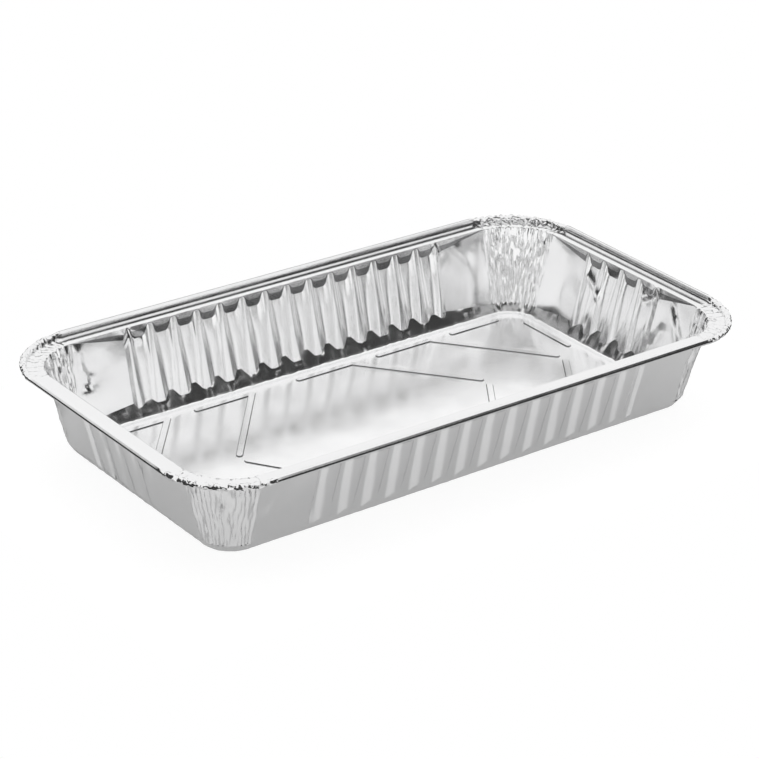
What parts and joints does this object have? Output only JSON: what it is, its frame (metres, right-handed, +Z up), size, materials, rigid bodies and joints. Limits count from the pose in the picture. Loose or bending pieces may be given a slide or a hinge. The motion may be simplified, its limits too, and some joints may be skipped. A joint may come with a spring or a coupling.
{
  "type": "aluminium foil tray",
  "caption": "Shallow oblong foil tray with drafted fluted walls, gathered corners, flat flange with rolled bead and chevron ribs embossed in the floor.",
  "frame": {"origin": "middle of the underside of the floor, on the surface the tray stands on", "axes": "+Z up through the open mouth, +X along the long side, +Y across the tray"},
  "size_m": [0.322, 0.182, 0.0459],
  "materials": {
    "foil": "bright"
  },
  "bodies": {
    "root": {"foil_tray": "foil"}
  },
  "joints": []
}
